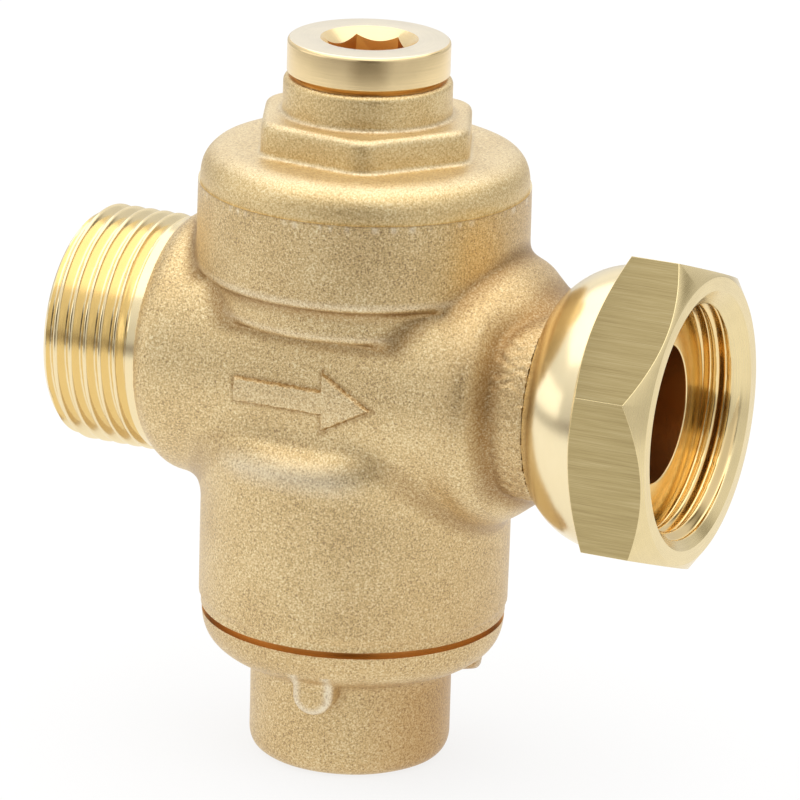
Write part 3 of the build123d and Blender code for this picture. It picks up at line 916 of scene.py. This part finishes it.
def lugOutline(x, y, z, angle):
    side = np.abs(y * cos(angle) - x * sin(angle))
    middle = cap["lugBottom"] + cap["lugWidth"] / 2
    return np.hypot(side, np.minimum(z - middle, 0)) - cap["lugWidth"] / 2


def capField(x, y, z):
    c = cap
    rho = fromAxis(x, y)
    under = (c["flangeBottom"] + (rho - c["bossRadius"]) * c["flangeSlope"] - z) * 0.987
    flange = softHigh(rho - c["flangeRadius"], under, c["flangeRound"])
    boss = softHigh(rho - c["bossRadius"], -z, c["footRound"])
    whole = softLow(flange, boss, c["blend"])
    for turn in range(c["lugs"]):
        angle = radians(c["lugAngle"] + 360 / c["lugs"] * turn)
        out = x * cos(angle) + y * sin(angle)
        slot = lugOutline(x, y, z, angle)
        lug = np.maximum(softHigh(slot, out - c["lugReach"], c["lugRound"]), 4 - out)
        whole = softLow(whole, lug, c["lugBlend"])
    whole = np.maximum(whole, z - bodyBottom - 1)
    return whole + 0.04 * uneven(x, y, z, 2.1, 2.9)


def makeCap():
    c = cap
    rim = bodyBottom - c["groove"]
    piece = fieldMesh("bottom_cap_shell", capField, (-17.5, -17.5, -0.5),
                      (17.5, 17.5, bodyBottom + 1.5), c["cell"])
    above = drum("above", rim)
    land = turned("land", "Z", [
        (rim - 1, 0), (rim - 1, c["landRadius"]), (bodyBottom, c["landRadius"]),
        (bodyBottom, c["spigotRadius"]), (bodyBottom + c["spigotHeight"], c["spigotRadius"]),
        (bodyBottom + c["spigotHeight"], c["collar"]), (capHigh[2], c["collar"]),
        (capHigh[2], 0)])
    bore = turned("bore", "Z", [
        (c["boreFloor"], 0), (c["boreFloor"], c["bore"]), (capHigh[2] + 1, c["bore"]),
        (capHigh[2] + 1, 0)], 120)
    foot = drum("foot", -drumHeight, 0)
    piece = combined(piece, "DIFFERENCE", above, foot)
    piece = combined(piece, "UNION", land)
    piece = combined(piece, "DIFFERENCE", bore)

    def choose(x, y, z, nx, ny, nz):
        kind = np.zeros(len(x), int)
        # The land in the groove and the spigot take the darker bore brass, painted shade
        kind[z > rim - 0.01] = 1
        return kind

    painted(piece, [forgedSkin, boreShadeBrass], choose)

    def lugMark(x, y, z, inner, width):
        # 1 on a line along each lug's outline, and how far out it lies
        line, out = np.zeros(len(x)), np.zeros(len(x))
        for turn in range(c["lugs"]):
            angle = radians(c["lugAngle"] + 360 / c["lugs"] * turn)
            reach = x * cos(angle) + y * sin(angle)
            near = unit(1 - np.abs(lugOutline(x, y, z, angle) - inner) / width)
            line = np.maximum(line, near * (reach > 8) * (z < bodyBottom - 3.5))
            out = np.maximum(out, reach)
        return line, out

    # Painted shade under the flange and around each lug's outline
    def paintedShade(x, y, z):
        rho = fromAxis(x, y)
        under = 0.5 * unit(1 - np.abs(rho - c["bossRadius"]) / 0.8) * unit(
            1 - np.abs(z - c["flangeBottom"] + 0.2) / 1.0)
        line, out = lugMark(x, y, z, 0.35, 0.7)
        return np.maximum(under, 0.5 * line * (rho < c["bossRadius"] + 0.8))

    def wear(x, y, z):
        # Painted highlight along the rounded rim of each lug
        line, out = lugMark(x, y, z, -0.4, 0.7)
        return 0.8 * line * unit((out - c["lugReach"] + 1.2) / 0.5)

    marked(piece, "crease", paintedShade)
    marked(piece, "wear", wear)
    # Painted shade, browner towards the outlet side of the boss, over a slight tint everywhere
    marked(piece, "stain", lambda x, y, z: 0.2 + unit((x - 5) / 6.5)
           * np.clip((13 - z) / 4, 0, 0.85))
    return finished(smooth(piece), "housing", "blasted_brass", "bottom_cap")


makeCap()


# Cover plug

plug = {
    "radius": 8.84, "head": 3.7, "groove": 0.5, "land": 8.0, "shank": 6.95,
    "edge": 0.45, "key": 8.0, "keyDepth": 5.7, "mouth": 5.32, "corner": -47.0, "bevel": 0.07,
}


def makePlug():
    p = plug
    top, seat = plugHigh[2], plugHigh[2] - p["head"]
    piece = turned("cover_plug", "Z", [
        (plugLow[2], 0), (plugLow[2], p["shank"]), (seat - p["groove"], p["shank"]),
        (seat - p["groove"], p["land"]), (seat, p["land"]), (seat, p["radius"], 0.15),
        (top, p["radius"], p["edge"]), (top, 0)], 256)
    socket = prism("socket", "Z", p["key"], p["corner"], top - p["keyDepth"], top + 1)
    mouth = turned("mouth", "Z", [
        (top - p["mouth"], 0), (top + 0.5, p["mouth"] + 0.5), (top + 0.5, 0)], 192)
    piece = combined(piece, "DIFFERENCE", socket, mouth)
    softened(piece, p["bevel"], 25)

    def choose(x, y, z, nx, ny, nz):
        rho = fromAxis(x, y)
        kind = np.zeros(len(x), int)
        kind[nz > 0.9] = 2
        # The socket's walls take the darker bore brass, painted shade
        kind[(rho < 4.7) & (np.abs(nz) < 0.3)] = 1
        # Below the head, the land and the shank take the gap brass, painted shade in the gap
        kind[z < seat] = 3
        return kind

    painted(piece, [plugBrass, boreShadeBrass, paleBrass, gapShadeBrass], choose)
    return finished(smooth(piece), "plug", "turned_brass", "top_plug")


makePlug()


# Swivel nut

nut = {
    "hex": 31.85, "length": 8.75, "face": 15.6, "frontChamfer": 2.05, "rearChamfer": 1.3,
    "corner": 160.4, "domeRear": 12.55, "bevel": 0.09, "shankBore": 10.38, "relief": 12.2,
    "flangeBack": 33.1, "threadStart": 35.35, "pitch": 1.814, "root": 13.25, "crest": 12.3,
    "firstCrest": 1.6, "steep": 1.35, "mouth": 14.1, "mouthSlope": 1.15, "mouthRound": 0.25,
}


def nutThreadRadius(x, angle):
    n = nut
    middle, half = (n["root"] + n["crest"]) / 2, (n["root"] - n["crest"]) / 2
    start = nutHigh[0] - n["firstCrest"]
    radius = middle - half * threadWave(x, angle, start, n["pitch"], n["steep"])
    mouth = n["mouth"] + (x - nutHigh[0]) * n["mouthSlope"]
    return softHigh(radius, mouth, n["mouthRound"])


def makeNut():
    n = nut
    rear, front = nutHigh[0] - n["length"], nutHigh[0]
    reach = n["hex"] / 2 / cos(radians(30))
    piece = prism("swivel_nut", "X", n["hex"], n["corner"], rear, front)
    shape = turned("shape", "X", [
        (rear, 0), (rear, n["face"]), (rear + n["rearChamfer"], reach + 0.02),
        (front - n["frontChamfer"], reach + 0.02), (front, n["face"]), (front, 0)], 240)
    piece = combined(piece, "INTERSECT", shape)
    softened(piece, n["bevel"], 12)
    drop = n["face"] - n["domeRear"]
    span = rear - nutLow[0]
    radius = (span * span + drop * drop) / (2 * drop)
    arc = [(rear - radius * sin(a), n["face"] - radius * (1 - cos(a)))
           for a in np.linspace(0, np.arcsin(span / radius), 24)]
    dome = turned("dome", "X", [(rear + 0.6, 0), (rear + 0.6, n["face"] - 0.02)]
                  + [(x, r - 0.02) for x, r in arc] + [(nutLow[0], 0)], 240)
    piece = combined(piece, "UNION", dome)
    plain = turned("plain", "X", [
        (nutLow[0] - 1, 0), (nutLow[0] - 1, n["shankBore"]), (n["flangeBack"], n["shankBore"]),
        (n["flangeBack"], n["relief"]), (n["threadStart"] + 0.2, n["relief"]),
        (n["threadStart"] + 0.2, 0)], 192)
    places = np.arange(n["threadStart"], front + 0.5, n["pitch"] / 26)
    inner = threaded("inner", list(places), nutThreadRadius, 360)
    piece = combined(piece, "DIFFERENCE", plain, inner)

    def choose(x, y, z, nx, ny, nz):
        tube = fromFlow(y, z)
        kind = np.zeros(len(x), int)
        outward = (ny * y + nz * (z - flow)) / tube
        for side in range(6):
            angle = radians(n["corner"] + 30 + 60 * side)
            flat = ny * cos(angle) + nz * sin(angle) > 0.9995
            # Alternate flats take the lit and the shaded copy of the milled finish
            kind[flat & (tube > n["face"])] = 1 + side % 2
        kind[(outward < -0.2) & (tube < 14.5)] = 3
        cone = n["mouth"] + (x - nutHigh[0]) * n["mouthSlope"]
        kind[(kind == 3) & (np.abs(tube - cone) < 0.1) & (nx > 0.3)] = 4
        kind[(x > nutHigh[0] - n["length"] - 0.05) & (kind == 0)] = 4
        return kind

    painted(piece, [domeBrass, litFlats, shadedFlats, nutThreadBrass, chamferBrass], choose)
    return finished(smooth(piece), "nut", "polished_brass", "union_nut")


makeNut()


# Outlet tailpiece

tail = {"bore": 7.6, "shank": 10.3, "flange": 12.1, "flangeLength": 2.3, "screw": 9.7}


def makeTail():
    t = tail
    inner, face = tailLow[0], tailHigh[0]
    piece = turned("outlet_tail", "X", [
        (inner, t["bore"]), (inner, t["screw"]), (outletEnd, t["screw"]),
        (outletEnd, t["shank"]), (face - t["flangeLength"], t["shank"]),
        (face - t["flangeLength"], t["flange"]), (face, t["flange"], 0.2),
        (face, t["bore"], 0.15)], 192)

    def choose(x, y, z, nx, ny, nz):
        tube = fromFlow(y, z)
        kind = np.zeros(len(x), int)
        # The bore takes the darker bore brass, painted shade
        kind[(tube < t["bore"] + 0.2) & (np.abs(nx) < 0.4)] = 1
        return kind

    painted(piece, [faceBrass, boreShadeBrass], choose)
    return finished(smooth(piece), "housing", "turned_brass", "outlet_tailpiece")


makeTail()


# The inner pieces stay as the frame has them

inside = {
    "bottom_cap_oring": rubber, "bonnet_oring": rubber, "top_plug_oring": rubber,
    "piston_oring": rubber, "balance_oring": rubber, "tailpiece_oring": rubber,
    "valve_gasket": rubber, "adjusting_nut": plugBrass, "spring_washer": steel,
    "main_spring": steel, "piston": plugBrass, "balance_piston": plugBrass,
    "gasket_washer": steel, "seat_ring": steel,
}
for node, material in inside.items():
    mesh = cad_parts[node].data
    mesh.materials.clear()
    mesh.materials.append(material)
print(f"inner pieces: {len(inside)}")


# Camera

camera = {
    "azimuth": 24.948, "elevation": 17.371, "roll": 1.679, "distance": 0.67497,
    "focal": 6170.6, "imageSize": 800,         # both in pixels of the photograph
    "sensor": 36.0,
    "aim": (360.018, 363.598),                 # pixel where the two axes cross
}


def makeCamera():
    c = camera
    azimuth, elevation, roll = (radians(c[k]) for k in ("azimuth", "elevation", "roll"))
    back = Vector((sin(azimuth) * cos(elevation), -cos(azimuth) * cos(elevation), sin(elevation)))
    right = Vector((cos(azimuth), sin(azimuth), 0))
    up = back.cross(right)
    tiltedRight = right * cos(roll) + up * sin(roll)
    tiltedUp = up * cos(roll) - right * sin(roll)
    data = bpy.data.cameras.new("camera")
    data.sensor_width = c["sensor"]
    data.lens = c["focal"] / c["imageSize"] * c["sensor"]
    half = c["imageSize"] / 2
    data.shift_x = (half - c["aim"][0]) / c["imageSize"]
    data.shift_y = (c["aim"][1] - half) / c["imageSize"]
    data.clip_start = 0.01
    holder = placed("camera", data)
    turn = Matrix((tiltedRight, tiltedUp, back)).transposed().to_4x4()
    place = Vector((0, 0, flow * mm)) + back * c["distance"]
    holder.matrix_world = Matrix.Translation(place) @ turn
    bpy.context.scene.camera = holder


makeCamera()


# Floor, lamps and surroundings

studio = {
    "floorRadius": 0.34, "floorBack": 0.13, "floorColour": (0.9, 0.9, 0.9, 1), "floorWhite": 0.8,
    "world": [(0.0, 0.55), (0.40, 0.62), (0.5, 0.66), (0.62, 0.74), (0.8, 0.95), (1.0, 1.0)],
    "lamps": {                             # place, size and strength of each soft lamp
        "top": ((0.0, 0.0, 0.8), (1.5, 1.4), 4.9),
        "left": ((-0.85, -0.45, 0.2), (0.85, 0.34), 0.6),
        "right": ((0.9, -0.3, 0.3), (0.4, 0.8), 0.15),
        "back": ((-0.45, 1.0, 0.32), (1.7, 0.6), 0.5),
    },
    "cards": {     # turn from the front, height from the flow axis, size, colour, soft edge
        "ring": (0.0, -0.058, (200.0, 0.19), (0.08, 0.04, 0.015), 1.0),
        "room": (24.9, 0.17, (40.0, 0.75), (0.05, 0.035, 0.02), 0.4),
        "corner": (135.0, 0.44, (32.0, 0.34), (0.12, 0.10, 0.04), 0.7),
        "front": (24.9, -0.16, (66.0, 0.5), (0.30, 0.28, 0.25), 0.45),
    },
    "cardRadius": 0.95,
}


def makeFloor():
    s = studio
    turn = radians(camera["azimuth"])
    middle = Vector((-sin(turn), cos(turn), 0)) * s["floorBack"]
    rim = [middle + Vector((cos(2 * pi * i / 128), sin(2 * pi * i / 128), 0)) * s["floorRadius"]
           for i in range(128)]
    mesh = bpy.data.meshes.new("floor")
    mesh.from_pydata([tuple(p) for p in rim], [], [tuple(range(128))])
    floor = placed("floor", mesh)
    f = Finish("floor")
    matte = f.node("ShaderNodeBsdfDiffuse", {}, {"Color": s["floorColour"]})
    white = f.node("ShaderNodeEmission", {}, {"Color": (1, 1, 1, 1), "Strength": 1.0})
    seen = f.seenDirectly()
    shader = f.node("ShaderNodeMixShader", {}, {0: seen * s["floorWhite"], 1: matte, 2: white})
    f.node("ShaderNodeOutputMaterial", {}, {"Surface": shader})
    floor.data.materials.append(f.material)
    floor.location.z = -0.02 * mm


def makeCard(name, turn, height, size, colour, edge):
    # A dark curved flag for the polished metal to reflect, which the camera doesn't see
    sweep, tall = size
    steps = max(int(sweep / 3), 2)
    points = []
    for i in range(steps + 1):
        angle = radians(turn - sweep / 2 + sweep * i / steps)
        for z in (height - tall / 2, height + tall / 2):
            points.append((studio["cardRadius"] * sin(angle), -studio["cardRadius"] * cos(angle),
                           flow * mm + z))
    faces = [(2 * i, 2 * i + 1, 2 * i + 3, 2 * i + 2) for i in range(steps)]
    mesh = bpy.data.meshes.new(name)
    mesh.from_pydata(points, [], faces)
    card = placed(name, mesh)
    card.visible_camera = False
    f = Finish(name)
    x, y, z = [f.node("ShaderNodeSeparateXYZ", {}, {0: f.place()}, side) for side in range(3)]
    rise = (z * mm - flow * mm - height) / (tall / 2)
    strength = ((1 - (rise * rise) ** 0.5) / edge).limited()
    if sweep < 360:
        side = f.node("ShaderNodeMath", {"operation": "ARCTAN2"}, {0: x, 1: y * -1})
        off = (side - radians(turn)) / radians(sweep / 2)
        strength = strength * ((1 - (off * off) ** 0.5) / edge).limited()
    dark = f.node("ShaderNodeEmission", {}, {"Color": colour + (1,), "Strength": 1.0})
    clear = f.node("ShaderNodeBsdfTransparent", {}, {})
    shader = f.node("ShaderNodeMixShader", {}, {0: strength, 1: clear, 2: dark})
    f.node("ShaderNodeOutputMaterial", {}, {"Surface": shader})
    card.data.materials.append(f.material)


def makeWorld():
    world = bpy.data.worlds.new("studio")
    bpy.context.scene.world = world
    world.use_nodes = True
    f = Finish("studio", world.node_tree)
    direction = f.node("ShaderNodeTexCoord", {}, {}, "Generated")
    height = f.node("ShaderNodeSeparateXYZ", {}, {0: direction}, 2)
    stops = [(place, (level, level, level, 1)) for place, level in studio["world"]]
    glow = f.ramp(height * 0.5 + 0.5, stops)
    sky = f.node("ShaderNodeBackground", {}, {"Color": glow, "Strength": 1.0})
    f.node("ShaderNodeOutputWorld", {}, {"Surface": sky})


def makeLamp(name, place, size, watts):
    data = bpy.data.lights.new(name, "AREA")
    data.shape = "RECTANGLE"
    data.size, data.size_y = size
    data.energy = watts
    lamp = placed(name, data)
    place = Vector(place)
    aim = Vector((0, 0, flow * mm))
    lamp.matrix_world = Matrix.Translation(place) @ (
        place - aim).to_track_quat("Z", "Y").to_matrix().to_4x4()


makeFloor()
makeWorld()
for name, (turn, height, size, colour, edge) in studio["cards"].items():
    makeCard(name + "_card", turn, height, size, colour, edge)
for name, (place, size, watts) in studio["lamps"].items():
    makeLamp(name, place, size, watts)
bpy.context.scene.view_settings.view_transform = "Standard"
print("studio: floor, world and lamps")
